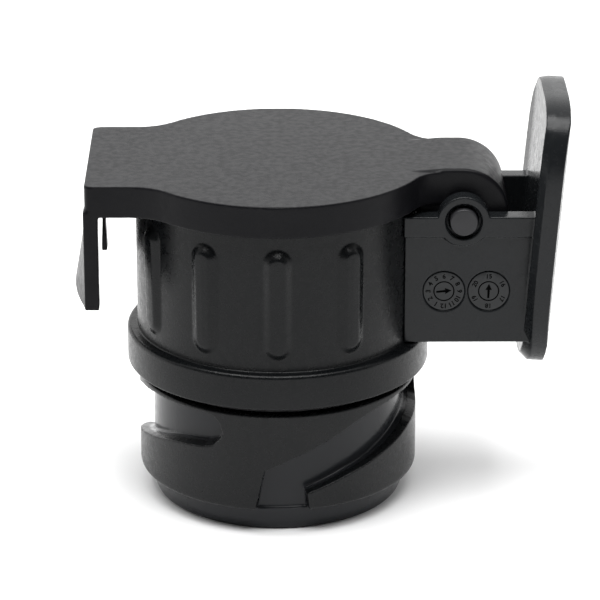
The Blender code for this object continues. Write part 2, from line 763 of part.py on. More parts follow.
def make_bracket():
    """The hinge bracket: two arms, the saddle that seats on the shell, and the stop plate."""
    plate = stop_plate()
    far_x = PLATE_FOOT_X + 2.5 * MM
    near_x = 18 * MM
    band_y = ARM_OUTER_Y + BAND_PROUD
    for number, side in enumerate((-1, 1), 1):
        inner, outer = sorted((side * ARM_INNER_Y, side * ARM_OUTER_Y))
        arm = block(f"arm_{number}", (near_x, inner, ARM_BOTTOM), (far_x, outer, ARM_TOP), CUTTERS)
        inner, outer = sorted((side * ARM_INNER_Y, side * band_y))
        top = ARM_TOP - 0.02 * MM
        band = block(f"band_{number}", (near_x, inner, BAND_BOTTOM), (far_x, outer, top), CUTTERS)
        boss = cylinder(f"boss_{number}", BOSS_R, ARM_INNER_Y, band_y - 0.01 * MM, CUTTERS, 40)
        boss.rotation_euler = (math.radians(-90 * side), 0, 0)
        boss.location = (PIN_AXIS_X, 0, PIN_AXIS_Z)
        join(plate, arm, band, boss)
    saddle = block(
        "saddle",
        (20 * MM, -ARM_INNER_Y - 0.5 * MM, ARM_BOTTOM),
        (GRIP_R + GAP + SADDLE_THICK, ARM_INNER_Y + 0.5 * MM, SADDLE_TOP),
        CUTTERS,
    )
    join(plate, saddle)
    shell_room = cylinder("bracket_shell_room", GRIP_R + GAP, 10 * MM, 60 * MM, CUTTERS, SEGMENTS)
    knuckle_room = side_cylinder("knuckle_room", KNUCKLE_R + 2 * GAP, ARM_INNER_Y, CUTTERS)
    bore = side_cylinder("bracket_bore", HINGE_BORE_R, 20 * MM, CUTTERS, 32)
    cut(plate, shell_room, knuckle_room, bore)
    for number, side in enumerate((-1, 1), 1):
        floor = ARM_OUTER_Y - 0.4 * MM
        recess = cylinder(f"boss_recess_{number}", BOSS_RECESS_R, floor, 15 * MM, CUTTERS, 32)
        recess.rotation_euler = (math.radians(-90 * side), 0, 0)
        recess.location = (PIN_AXIS_X, 0, PIN_AXIS_Z)
        cut(plate, recess)
    return finish(plate, BLACK_GRAINED)


def make_hinge_pin():
    pin = side_cylinder("hinge_pin", HINGE_PIN_R, HINGE_PIN_HALF, PARTS, 32)
    return finish(bevel(pin, 0.35 * MM, 1), BLACK_SMOOTH)


def make_spring():
    """A torsion spring round the pin: one leg on the saddle, the other under the lid's neck."""
    per_turn = 14
    count = SPRING_TURNS * per_turn
    points = []
    start = math.radians(200)
    for i in range(count + 1):
        angle = start - 2 * math.pi * i / per_turn
        y = (i / count - 0.5) * 2 * (SPRING_ROOM_HALF - 1.6 * MM)
        x = PIN_AXIS_X + SPRING_R * math.cos(angle)
        points.append((x, y, PIN_AXIS_Z + SPRING_R * math.sin(angle)))
    down_leg = [tuple(Vector(points[0]) + Vector(step) * MM) for step in SPRING_DOWN_LEG]
    up_leg = [tuple(Vector(points[-1]) + Vector(SPRING_UP_LEG) * MM)]
    return finish(tube("torsion_spring", down_leg + points + up_leg, SPRING_WIRE_R, PARTS, 2), STEEL)


make_barrel()
make_seal()
make_shell()
make_socket_insert()
make_contacts()
make_core()
make_leads()
make_lid()
make_gasket()
make_bracket()
make_hinge_pin()
make_spring()
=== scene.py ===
"""Looks of the trailer wiring adapter: fine meshes, materials, floor, light and camera."""

import math

import bmesh
import bpy
from mathutils import Matrix, Vector


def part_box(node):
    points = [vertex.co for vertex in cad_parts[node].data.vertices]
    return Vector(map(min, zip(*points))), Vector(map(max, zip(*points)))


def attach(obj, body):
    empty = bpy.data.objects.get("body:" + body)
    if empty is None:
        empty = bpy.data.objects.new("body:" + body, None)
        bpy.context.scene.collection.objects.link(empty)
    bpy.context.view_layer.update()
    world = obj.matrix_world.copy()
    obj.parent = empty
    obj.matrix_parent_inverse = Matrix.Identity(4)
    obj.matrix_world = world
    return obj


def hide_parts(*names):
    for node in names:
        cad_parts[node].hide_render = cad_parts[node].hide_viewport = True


MM = 0.001
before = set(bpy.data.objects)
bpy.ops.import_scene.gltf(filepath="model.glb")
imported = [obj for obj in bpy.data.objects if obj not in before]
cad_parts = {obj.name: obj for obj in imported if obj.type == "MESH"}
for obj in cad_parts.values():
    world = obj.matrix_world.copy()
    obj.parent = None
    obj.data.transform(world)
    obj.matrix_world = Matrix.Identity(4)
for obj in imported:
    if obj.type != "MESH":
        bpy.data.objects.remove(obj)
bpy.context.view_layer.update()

# Sizes read from the frame
BARREL_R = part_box("bayonet_barrel")[1].x
SPIGOT_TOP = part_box("bayonet_barrel")[1].z
SHELL_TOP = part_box("grip_shell")[1].z
FLANGE_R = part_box("grip_shell")[1].x
FLANGE_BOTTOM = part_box("grip_shell")[0].z
TAB_HALF_WIDTH = 15.8 * MM
PIN_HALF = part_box("hinge_pin")[1].y
PIN_R = (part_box("hinge_pin")[1].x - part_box("hinge_pin")[0].x) / 2
PIN_X = (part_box("hinge_pin")[1].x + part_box("hinge_pin")[0].x) / 2
PIN_Z = (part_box("hinge_pin")[1].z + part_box("hinge_pin")[0].z) / 2
CONTACTS = [f"socket_contact_{i}" for i in range(1, 8)]
PINS = [f"plug_pin_{i}" for i in range(1, 8)]
LEADS = [f"link_lead_{i}" for i in range(1, 8)]

# Barrel and its bayonet grooves
BARREL_BOTTOM = 4.4 * MM
BARREL_TOP = 22.0 * MM
LIP_TOP_R = 22.3 * MM
LIP_FOOT_R = 21.2 * MM
NOSE_BORE_R = 18.6 * MM
CORE_BORE_R = 19.6 * MM
CORE_SEAT_Z = 16.2 * MM
SEAL_SEAT_R = 21.6 * MM
SPIGOT_R = 20.9 * MM
GROOVE_FLOOR_R = 21.5 * MM
GROOVES = 3
LEDGE_SLANT = 1.3 * MM

# Grip shell
GRIP_R = 24.2 * MM
FLANGE_TOP = 30.0 * MM
SHELL_BORE_R = 21.8 * MM
COLLAR_R = 18.0 * MM
COLLAR_BOTTOM = 26.9 * MM
COLLAR_TOP = 31.0 * MM
RIB_ANGLES = (-150, -120, -60, -30, 0, 30, 150, 180)
RIB_HALF_WIDTH = 2.35 * MM
RIB_BOTTOM = 32.3 * MM
RIB_TOP = 51.5 * MM
RIB_PROUD_TOP = 1.2 * MM
RIB_PROUD_BOTTOM = 0.75 * MM

# Lid
LID_R = 26.0 * MM
LID_BOTTOM = 54.3 * MM
LID_TOP = 59.8 * MM
TAB_END_X = -32.1 * MM
TAB_FILLET = 9.0 * MM
LEG_INNER_X = -29.9 * MM
LEG_BOTTOM = 37.8 * MM
LEG_DEPTH_Y = 2.6 * MM
SKIN_BOW = 2.4 * MM
SKIN_THICK = 0.8 * MM
WEDGE_X = -30.4
KNUCKLE_R = 7.6 * MM
KNUCKLE_HALF = 8.7 * MM
NECK_FILLET = 6.0 * MM
SPRING_ROOM_R = 5.2 * MM
SPRING_ROOM_HALF = 5.6 * MM

# Bracket and stop plate
ARM_OUTER_Y = 11.6 * MM
ARM_INNER_Y = 9.0 * MM
ARM_BOTTOM = 30.3 * MM
ARM_TOP = 53.0 * MM
ARM_LEFT_X = 21.9 * MM
BAND_BOTTOM = 49.4 * MM
BAND_PROUD = 0.5 * MM
BOSS_R = 4.35 * MM
BOSS_RECESS_R = 3.1 * MM
SADDLE_THICK = 2.0 * MM
PLATE_THICK = 4.1 * MM
PLATE_FOOT_X = 41.25 * MM
PLATE_BOTTOM = 23.9 * MM
PLATE_TOP = 72.2 * MM
PLATE_HALF_WIDTH = 15.8 * MM
PLATE_WING_BEND = 0.19
PLATE_LEAN = math.radians(4.2)
PLATE_CHAMFER = 1.5 * MM
DIAL_R = 3.6 * MM
DIAL_NUMBER_R = 2.62 * MM
DIAL_ARROW = 2.6 * MM
MOAT_OUTER_R = 1.80 * MM
MOAT_INNER_R = 1.58 * MM
DIAL_Z = 39.6 * MM
DIAL_LEFT_X = 28.05 * MM
DIAL_RIGHT_X = 35.6 * MM

VOXEL = 0.2 * MM
FINE_VOXEL = 0.18 * MM
FINEST_VOXEL = 0.16 * MM
FILLET_REACH = 0.45  # the most of an edge that one corner's fillet may take


# ---------------------------------------------------------------- mesh helpers


def polar(radius, degrees, height=0.0):
    """A point at this radius and height. 0 degrees is at -Y, the front, and angles turn to +X."""
    angle = math.radians(degrees)
    return Vector((radius * math.sin(angle), -radius * math.cos(angle), height))


def arc(centre, radius, start, end, count):
    """Points along an arc, angles in degrees from +X."""
    step = (end - start) / (count - 1)
    angles = [math.radians(start + step * i) for i in range(count)]
    return [(centre[0] + radius * math.cos(a), centre[1] + radius * math.sin(a)) for a in angles]


def smooth(share):
    share = min(max(share, 0.0), 1.0)
    return share * share * (3 - 2 * share)


def filleted(corners, steps=4):
    """A closed outline with its corners rounded: each corner is (x, y) or (x, y, radius)."""
    points = []
    count = len(corners)
    for i, corner in enumerate(corners):
        here = Vector(corner[:2])
        radius = corner[2] if len(corner) > 2 else 0.0
        if not radius:
            points.append(tuple(here))
            continue
        back = Vector(corners[i - 1][:2]) - here
        ahead = Vector(corners[(i + 1) % count][:2]) - here
        reach = radius / math.tan(back.angle(ahead) / 2)
        reach = min(reach, FILLET_REACH * back.length, FILLET_REACH * ahead.length)
        start, end = here + back.normalized() * reach, here + ahead.normalized() * reach
        for j in range(steps + 1):
            t = j / steps
            points.append(tuple((1 - t) ** 2 * start + 2 * t * (1 - t) * here + t * t * end))
    return points


def link(name, mesh):
    obj = bpy.data.objects.new(name, mesh)
    bpy.context.scene.collection.objects.link(obj)
    return obj


def mesh_object(name, bm):
    """An object from a closed bmesh, with its faces turned outwards."""
    bmesh.ops.recalc_face_normals(bm, faces=bm.faces)
    if bm.calc_volume(signed=True) < 0:
        bmesh.ops.reverse_faces(bm, faces=bm.faces)
    mesh = bpy.data.meshes.new(name)
    bm.to_mesh(mesh)
    bm.free()
    return link(name, mesh)


def lathe(name, profile, angles=160, radius_at=None):
    """A ring turned about Z from a closed outline of (radius, height).
    radius_at(radius, degrees, height) may push a point in or out."""
    if isinstance(angles, int):
        angles = [360.0 * i / angles for i in range(angles)]
    bm = bmesh.new()
    columns = []
    for degrees in angles:
        column = []
        for radius, height in profile:
            if radius_at:
                radius = radius_at(radius, degrees, height)
            column.append(bm.verts.new(polar(radius, degrees, height)))
        columns.append(column)
    for left, right in zip(columns, columns[1:] + columns[:1]):
        for i in range(len(profile)):
            j = (i + 1) % len(profile)
            bm.faces.new((left[i], left[j], right[j], right[i]))
    return mesh_object(name, bm)


def prism(name, outline, low, high, axis="Z"):
    """A closed flat outline made solid between two depths along Z, Y or X."""
    places = {
        "Z": lambda a, b, depth: (a, b, depth),
        "Y": lambda a, b, depth: (a, depth, b),
        "X": lambda a, b, depth: (depth, a, b),
    }
    place = places[axis]
    bm = bmesh.new()
    bottom = [bm.verts.new(place(a, b, low)) for a, b in outline]
    top = [bm.verts.new(place(a, b, high)) for a, b in outline]
    bm.faces.new(bottom)
    bm.faces.new(top)
    for i in range(len(outline)):
        j = (i + 1) % len(outline)
        bm.faces.new((bottom[i], bottom[j], top[j], top[i]))
    return mesh_object(name, bm)


def block(name, low, high):
    outline = [(low[0], low[1]), (high[0], low[1]), (high[0], high[1]), (low[0], high[1])]
    return prism(name, outline, low[2], high[2])


def rod(name, radius, low, high, x=PIN_X, z=PIN_Z, sides=64):
    """A cylinder along Y."""
    return prism(name, arc((x, z), radius, 0, 360 - 360 / sides, sides), low, high, "Y")


def applied(obj):
    """Turns an object's modifiers into its mesh."""
    graph = bpy.context.evaluated_depsgraph_get()
    mesh = bpy.data.meshes.new_from_object(obj.evaluated_get(graph))
    obj.modifiers.clear()
    obj.data = mesh
    return obj


def combine(target, operation, *others):
    """Joins others to the target or cuts them from it, and removes them."""
    for other in others:
        change = target.modifiers.new("change", "BOOLEAN")
        change.operation = operation
        change.object = other
        applied(target)
        bpy.data.objects.remove(other, do_unlink=True)
    return target


def join(target, *others):
    return combine(target, "UNION", *others)


def cut(target, *others):
    return combine(target, "DIFFERENCE", *others)


def bevelled(obj, width, segments=3, angle=30):
    edge = obj.modifiers.new("edge", "BEVEL")
    edge.width = width
    edge.segments = segments
    edge.limit_method = "ANGLE"
    edge.angle_limit = math.radians(angle)
    edge.use_clamp_overlap = True
    return applied(obj)


def moulded(obj, rounds=5, share=0.3, voxel=VOXEL):
    """Remeshes a joined shape finely and softens it, which rounds every edge and corner."""
    skin = obj.modifiers.new("skin", "REMESH")
    skin.mode = "VOXEL"
    skin.voxel_size = voxel
    soften = obj.modifiers.new("soften", "SMOOTH")
    soften.factor = 0.5
    soften.iterations = rounds
    thin = obj.modifiers.new("thin", "DECIMATE")
    thin.ratio = share
    applied(obj)
    obj.data.shade_smooth()
    return obj


def dress(obj, body, mat, slot, *nodes):
    """Gives a piece its body and its material, and hides the CAD nodes that it stands for. The
    slot argument is not used.
    """
    obj.data.materials.clear()
    obj.data.materials.append(mat)
    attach(obj, body)
    if nodes:
        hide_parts(*nodes)
    return obj


def sharp_smooth(obj, angle=40):
    obj.data.shade_smooth()
    obj.data.set_sharp_from_angle(angle=math.radians(angle))
    return obj


# ---------------------------------------------------------------- materials


class Nodes:
    """A short way to write a material's nodes."""

    def __init__(self, name):
        self.material = bpy.data.materials.new(name)
        self.material.use_nodes = True
        self.tree = self.material.node_tree
        self.shader = self.tree.nodes["Principled BSDF"]
        self.where = self.add("ShaderNodeTexCoord").outputs["Object"]

    def add(self, kind, inputs=None, **settings):
        node = self.tree.nodes.new(kind)
        for key, value in settings.items():
            setattr(node, key, value)
        for key, value in (inputs or {}).items():
            self.put(node.inputs[key], value)
        return node

    def put(self, socket, value):
        if isinstance(value, bpy.types.NodeSocket):
            self.tree.links.new(value, socket)
        else:
            socket.default_value = value

    def noise(self, scale, detail=2.0, roughness=0.5):
        settings = {"Vector": self.where, "Scale": scale, "Detail": detail, "Roughness": roughness}
        return self.add("ShaderNodeTexNoise", settings).outputs["Fac"]

    def ramp(self, value, low, high, start=0.35, end=0.65):
        """Maps start..end of a value onto low..high."""
        settings = {"Value": value, "From Min": start, "From Max": end}
        settings |= {"To Min": low, "To Max": high}
        return self.add("ShaderNodeMapRange", settings).outputs["Result"]

    def math(self, operation, a, b=0.0):
        node = self.add("ShaderNodeMath", operation=operation)
        self.put(node.inputs[0], a)
        self.put(node.inputs[1], b)
        return node.outputs[0]

    def mix_colour(self, share, dark, light):
        node = self.add("ShaderNodeMix", data_type="RGBA")
        self.put(node.inputs[0], share)
        self.put(node.inputs[6], (*dark, 1.0))
        self.put(node.inputs[7], (*light, 1.0))
        return node.outputs[2]

    def bump(self, height, distance, strength=1.0):
        settings = {"Height": height, "Distance": distance, "Strength": strength}
        return self.add("ShaderNodeBump", settings).outputs["Normal"]

    def finish(self, **inputs):
        for key, value in inputs.items():
            self.put(self.shader.inputs[key.replace("_", " ").title()], value)
        return self.material


# Painted sheen: a lighter black that plastic() puts on surfaces near the axis, such as the groove
# floors, for their bright look.
PAINTED_SHEEN = (0.015, 0.016, 0.018, 1.0)
# Painted shade: the black of the dials' engraved marks and recesses.
ENGRAVING_SHADE = (0.001, 0.001, 0.001, 1.0)


def plastic(name, dark, light, roughness, grain, grain_depth, smooth_under=None, specular=0.25):
    """Moulded plastic. grain is the texture's pitch in mm and grain_depth its depth in mm.
    Nearer the axis than smooth_under mm, as on a groove's floor, the mould's polish fades the
    grain and makes the plastic glossier, and the colour is lifted to a lighter black, a painted
    sheen."""
    n = Nodes(name)
    patches = n.ramp(n.noise(70.0, 3.0), 0.0, 1.0)
    colour = n.mix_colour(patches, dark, light)
    streaks = n.noise(900.0, 2.0)
    rough = n.ramp(streaks, roughness - 0.05, roughness + 0.05)
    n.shader.inputs["Specular IOR Level"].default_value = specular
    coarse = n.noise(1000.0 / grain, 1.0, 0.4)
    fine = n.noise(2300.0 / grain, 0.0, 0.4)
    height = n.math("ADD", coarse, n.math("MULTIPLY", fine, 0.5))
    if smooth_under:
        across = {0: n.where, 1: (1.0, 1.0, 0.0)}
        flat = n.add("ShaderNodeVectorMath", across, operation="MULTIPLY").outputs[0]
        away = n.add("ShaderNodeVectorMath", {0: flat}, operation="LENGTH").outputs["Value"]
        grained = n.ramp(away, 0.12, 1.0, (smooth_under - 0.3) * MM, smooth_under * MM)
        height = n.math("MULTIPLY", height, grained)
        # Painted sheen: near the axis the colour is lifted to a lighter black.
        sheen_mix = n.add("ShaderNodeMix", data_type="RGBA")
        n.put(sheen_mix.inputs[0], n.ramp(grained, 1.0, 0.0, 0.12, 1.0))
        n.put(sheen_mix.inputs[6], colour)
        n.put(sheen_mix.inputs[7], PAINTED_SHEEN)
        colour = sheen_mix.outputs[2]
        rough = n.math("ADD", rough, n.ramp(grained, -0.12, 0.0, 0.0, 1.0))
    n.put(n.shader.inputs["Normal"], n.bump(height, grain_depth * MM))
    return n.finish(base_color=colour, roughness=rough)


def engraved(name, dark, light, roughness):
    """The dials' plastic: as the bracket's on the face, and black with painted shade, almost
    without reflection, in every engraved mark and every recess behind the face.
    """
    n = Nodes(name)
    split = n.add("ShaderNodeSeparateXYZ", {0: n.where})
    # Painted shade: everything sunk behind the dial's face turns black and loses its reflection.
    sunk_shade = n.ramp(split.outputs["Y"], 0.0, 1.0, -ARM_OUTER_Y + 0.03 * MM, -ARM_OUTER_Y + 0.06 * MM)
    face = n.mix_colour(n.ramp(n.noise(600.0), 0.0, 1.0), dark, light)
    colour = n.add("ShaderNodeMix", data_type="RGBA")
    n.put(colour.inputs[0], sunk_shade)
    n.put(colour.inputs[6], face)
    n.put(colour.inputs[7], ENGRAVING_SHADE)
    n.put(n.shader.inputs["Specular IOR Level"], n.ramp(sunk_shade, 0.25, 0.02, 0.0, 1.0))
    return n.finish(base_color=colour.outputs[2], roughness=n.ramp(sunk_shade, roughness, 0.8, 0.0, 1.0))


def metal(name, dark, light, roughness, brushed=1500.0):
    n = Nodes(name)
    tarnish = n.ramp(n.noise(220.0, 4.0), 0.0, 1.0)
    scratches = n.noise(brushed, 3.0, 0.7)
    n.put(n.shader.inputs["Normal"], n.bump(scratches, 0.006 * MM))
    n.shader.inputs["Metallic"].default_value = 1.0
    return n.finish(
        base_color=n.mix_colour(tarnish, dark, light),
        roughness=n.ramp(scratches, roughness - 0.08, roughness + 0.1),
    )


def rubber(name):
    n = Nodes(name)
    dust = n.ramp(n.noise(400.0, 5.0, 0.7), 0.0, 1.0, 0.4, 0.75)
    n.put(n.shader.inputs["Normal"], n.bump(n.noise(2600.0, 2.0), 0.02 * MM))
    return n.finish(
        base_color=n.mix_colour(dust, (0.010, 0.010, 0.011), (0.022, 0.022, 0.022)),
        roughness=n.ramp(dust, 0.68, 0.85, 0.0, 1.0),
    )


BLACK = ((0.003, 0.0035, 0.004), (0.005, 0.0055, 0.006))
LID_TONES = ((0.004, 0.004, 0.005), (0.006, 0.006, 0.007))
BRACKET_TONES = ((0.008, 0.009, 0.010), (0.010, 0.011, 0.012))
PIN_TONES = ((0.020, 0.020, 0.022), (0.026, 0.026, 0.028))
INSERT_TONES = ((0.030, 0.031, 0.033), (0.038, 0.039, 0.041))
JACKET_TONES = ((0.26, 0.035, 0.025), (0.32, 0.05, 0.035))

LID_BLACK = plastic("lid_black", *LID_TONES, 0.34, 0.26, 0.026, specular=0.10)
SHELL_BLACK = plastic("shell_black", *BLACK, 0.29, 0.30, 0.024, specular=0.17)
BARREL_BLACK = plastic("barrel_black", *BLACK, 0.29, 0.30, 0.024, 22.6, 0.2)
BRACKET_BLACK = plastic("bracket_black", *BRACKET_TONES, 0.24, 0.4, 0.010, specular=0.2)
DIAL_BLACK = engraved("dial_black", (0.014, 0.015, 0.016), (0.017, 0.018, 0.019), 0.28)
PIN_BLACK = plastic("pin_black", *PIN_TONES, 0.34, 0.3, 0.006)
INSERT_BLACK = plastic("insert_black", *INSERT_TONES, 0.34, 0.6, 0.006)
RUBBER = rubber("seal_rubber")
BRASS = metal("brass_contact", (0.56, 0.38, 0.14), (0.72, 0.53, 0.24), 0.28)
STEEL = metal("spring_steel", (0.42, 0.42, 0.44), (0.60, 0.60, 0.62), 0.30)
JACKET = plastic("lead_jacket", *JACKET_TONES, 0.45, 0.5, 0.01)


# ---------------------------------------------------------------- pieces


def rib_height(degrees, height):
    """How proud the nearest grip rib stands here, with its flanks blended into the shell."""
    apart = min(abs((degrees - a + 180) % 360 - 180) for a in RIB_ANGLES)
    across = math.radians(apart) * GRIP_R
    low, high = RIB_BOTTOM + RIB_HALF_WIDTH, RIB_TOP - RIB_HALF_WIDTH
    beyond = max(low - height, height - high, 0.0)
    inside = 1 - math.hypot(across, beyond) / RIB_HALF_WIDTH
    if inside < -0.15:
        return 0.0
    share = (height - RIB_BOTTOM) / (RIB_TOP - RIB_BOTTOM)
    proud = RIB_PROUD_BOTTOM + (RIB_PROUD_TOP - RIB_PROUD_BOTTOM) * min(max(share, 0), 1)
    flank = smooth((inside + 0.15) / 0.75)
    crown = min(max(inside, 0.0), 1.0)
    return proud * (0.88 * flank + 0.12 * crown)


def swing_limit(radius, degrees, height):
    """Keeps the shell's wall clear of the lid's knuckle as it turns."""
    room = KNUCKLE_R + 0.7 * MM
    place = polar(radius, degrees)
    drop = abs(height - PIN_Z)
    beside = drop > room or abs(place.y) > KNUCKLE_HALF + 0.6 * MM or place.x < 0
    if beside or radius < SHELL_BORE_R + 0.2 * MM:
        return radius
    limit = PIN_X - math.sqrt(room * room - drop * drop)
    return min(radius, limit / math.sin(math.radians(degrees)))


def shell_radius(radius, degrees, height):
    if radius > GRIP_R - 0.01 * MM and RIB_BOTTOM - 1 * MM < height < RIB_TOP + 1 * MM:
        radius += rib_height(degrees, height)
    return swing_limit(radius, degrees, height)


def rib_columns():
    """Angles round the shell, close together over each rib and coarser between them."""
    columns = set()
    for degrees in range(0, 360, 2):
        columns.add(float(degrees))
    for rib in RIB_ANGLES:
        for i in range(-17, 18):
            columns.add((rib + i * 0.4) % 360)
    return sorted(columns)


def make_shell():
    corners = [
        (SHELL_BORE_R, SHELL_TOP, 0.3 * MM),
        (GRIP_R, SHELL_TOP, 0.3 * MM),
        (GRIP_R, FLANGE_TOP, 0.35 * MM),
        (FLANGE_R, FLANGE_TOP, 1.9 * MM),
        (FLANGE_R, FLANGE_BOTTOM, 0.5 * MM),
        (SPIGOT_R + 0.3 * MM, FLANGE_BOTTOM, 0.2 * MM),
        (SPIGOT_R + 0.3 * MM, COLLAR_BOTTOM),
        (COLLAR_R, COLLAR_BOTTOM),
        (COLLAR_R, COLLAR_TOP),
        (SHELL_BORE_R, COLLAR_TOP),
    ]
    outline = filleted(corners, 8)
    upright = [abs(a[0] - GRIP_R) + abs(b[0] - GRIP_R) for a, b in zip(outline, outline[1:])]
    start = upright.index(min(upright))
    low, high = outline[start + 1][1], outline[start][1]
    rows = 110
    steps = [(GRIP_R, high + (low - high) * j / rows) for j in range(1, rows)]
    outline[start + 1 : start + 1] = steps
    shell = lathe("grip_shell_fine", outline, rib_columns(), shell_radius)
    sharp_smooth(shell, 50)
    return dress(shell, "housing", SHELL_BLACK, "black_grained", "grip_shell")


def groove_outline():
    """One bayonet groove unrolled, in degrees round the barrel and mm of height."""
    mouth = [(-9.5, 4.25), (13.0, 4.25), (12.0, 7.6)]
    lower = [(30.0, 10.0), (48.0, 11.9), (70.0, 13.5), (88.0, 14.4)]
    end = [(93.0, 15.0), (96.0, 16.4), (97.0, 17.9), (96.0, 19.6), (93.0, 21.0)]
    upper = [(88.0, 21.3), (60.0, 21.2), (44.0, 20.5), (34.0, 19.3), (12.0, 15.2), (-5.6, 11.8)]
    return mouth + lower + end + upper


def ledge_rise(degrees, height):
    """How much higher the floor's lower edge lies than the rim's: the lower wall leans back."""
    if height > (8.8 + 0.0917 * degrees) * MM:
        return 0.0
    return LEDGE_SLANT * smooth((degrees - 40.0) / 40.0)


def groove_cutter(number):
    """A groove's outline wrapped round the barrel."""
    cutter = prism("groove", groove_outline(), -1, 1)
    bm = bmesh.new()
    bm.from_mesh(cutter.data)
    for degrees in range(-8, 97, 2):
        geometry = bm.verts[:] + bm.edges[:] + bm.faces[:]
        place = (degrees, 0, 0)
        bmesh.ops.bisect_plane(bm, geom=geometry, plane_co=place, plane_no=(1, 0, 0), dist=0.01)
    for vert in bm.verts:
        degrees, height, depth = vert.co.x, vert.co.y * MM, vert.co.z
        radius = BARREL_R + 2 * MM if depth > 0 else GROOVE_FLOOR_R
        if depth < 0:
            height += ledge_rise(degrees, height)
        vert.co = polar(radius, degrees + 360 / GROOVES * number, height)
    bmesh.ops.recalc_face_normals(bm, faces=bm.faces)
    if bm.calc_volume(signed=True) < 0:
        bmesh.ops.reverse_faces(bm, faces=bm.faces)
    bm.to_mesh(cutter.data)
    bm.free()
    return cutter


def make_barrel():
    corners = [
        (SPIGOT_R, SPIGOT_TOP),
        (SPIGOT_R, FLANGE_BOTTOM - 0.3 * MM),
        (SEAL_SEAT_R, FLANGE_BOTTOM - 0.3 * MM),
        (SEAL_SEAT_R, BARREL_TOP),
        (BARREL_R, BARREL_TOP, 0.3 * MM),
        (BARREL_R, BARREL_BOTTOM, 0.9 * MM),
        (LIP_TOP_R, BARREL_BOTTOM, 0.2 * MM),
        (LIP_FOOT_R + 0.5 * MM, 1.4 * MM, 1.5 * MM),
        (LIP_FOOT_R, 0.0, 0.8 * MM),
        (NOSE_BORE_R, 0.0, 0.5 * MM),
        (NOSE_BORE_R, CORE_SEAT_Z),
        (CORE_BORE_R, CORE_SEAT_Z),
        (CORE_BORE_R, SPIGOT_TOP),
    ]
    barrel = lathe("bayonet_barrel_fine", filleted(corners, 4), 240)
    cut(barrel, *[groove_cutter(number) for number in range(GROOVES)])
    moulded(barrel, 3, 0.3, FINE_VOXEL)
    return dress(barrel, "housing", BARREL_BLACK, "black_grained", "bayonet_barrel")


def tab_side(reach_x, half_width, fillet, side):
    """The outline at +Y from the disc's rim to the end of a tab."""
    reach = LID_R + fillet
    across = half_width + fillet
    centre_x = side * math.sqrt(reach * reach - across * across)
    touch = math.degrees(math.atan2(across, centre_x))
    turn = touch - 180
    points = arc((centre_x, across), fillet, turn, -90, 14)
    return touch, points + [(reach_x, half_width)]


def lid_outline():
    """The lid from above: a disc with the hook's tab to -X and the hinge's neck to +X."""
    tab_touch, tab = tab_side(TAB_END_X, TAB_HALF_WIDTH, TAB_FILLET, -1)
    neck_touch, neck = tab_side(PIN_X, KNUCKLE_HALF, NECK_FILLET, 1)
    corner = 1.2 * MM
    tab[-1:] = arc((TAB_END_X + corner, TAB_HALF_WIDTH - corner), corner, 90, 180, 5)
    rim = arc((0, 0), LID_R, neck_touch, tab_touch, 90)
    upper = neck[::-1] + rim[1:-1] + tab
    lower = [(x, -y) for x, y in reversed(upper)]
    return upper + lower


def neck_block():
    """The raised neck and the knuckle over the hinge pin, with well rounded sides."""
    hump = [(19.0, 55.2), (19.0, 59.3), (22.5, 59.82), (25.0, 60.05), (28.0, 60.3)]
    curve = arc((31.05, 52.45), 7.85, 92, -62, 36)
    under = arc((31.2, 52.2), 7.55, -70, -200, 24)
    outline = [(x * MM, z * MM) for x, z in hump + curve + under]
    return bevelled(prism("neck", outline, -KNUCKLE_HALF, KNUCKLE_HALF, "Y"), 2.4 * MM, 7, 50)


def hook_skin():
    """The hook's outer face between its two ends, bowed outwards towards its foot."""
    bm = bmesh.new()
    rows, columns = 24, 40
    outer, inner = [], []
    for j in range(rows + 1):
        fall = j / rows
        height = LID_BOTTOM + 1 * MM + (LEG_BOTTOM + 0.3 * MM - LID_BOTTOM - 1 * MM) * fall
        for i in range(columns + 1):
            across = 2 * i / columns - 1
            bow = SKIN_BOW * (1 - across * across) * fall ** 1.2
            x = TAB_END_X - 0.2 * MM * fall - bow
            y = across * (TAB_HALF_WIDTH - 0.3 * MM)
            outer.append(bm.verts.new((x, y, height)))
            inner.append(bm.verts.new((x + SKIN_THICK, y, height)))
    wide = columns + 1
    for j in range(rows):
        for i in range(columns):
            a = j * wide + i
            bm.faces.new([outer[k] for k in (a, a + 1, a + wide + 1, a + wide)])
            bm.faces.new([inner[k] for k in (a, a + wide, a + wide + 1, a + 1)])
    around = (
        [i for i in range(wide)]
        + [j * wide + columns for j in range(1, rows + 1)]
        + [rows * wide + i for i in range(columns - 1, -1, -1)]
        + [j * wide for j in range(rows - 1, 0, -1)]
    )
    for a, b in zip(around, around[1:] + around[:1]):
        bm.faces.new((outer[a], inner[a], inner[b], outer[b]))
    return mesh_object("skin", bm)


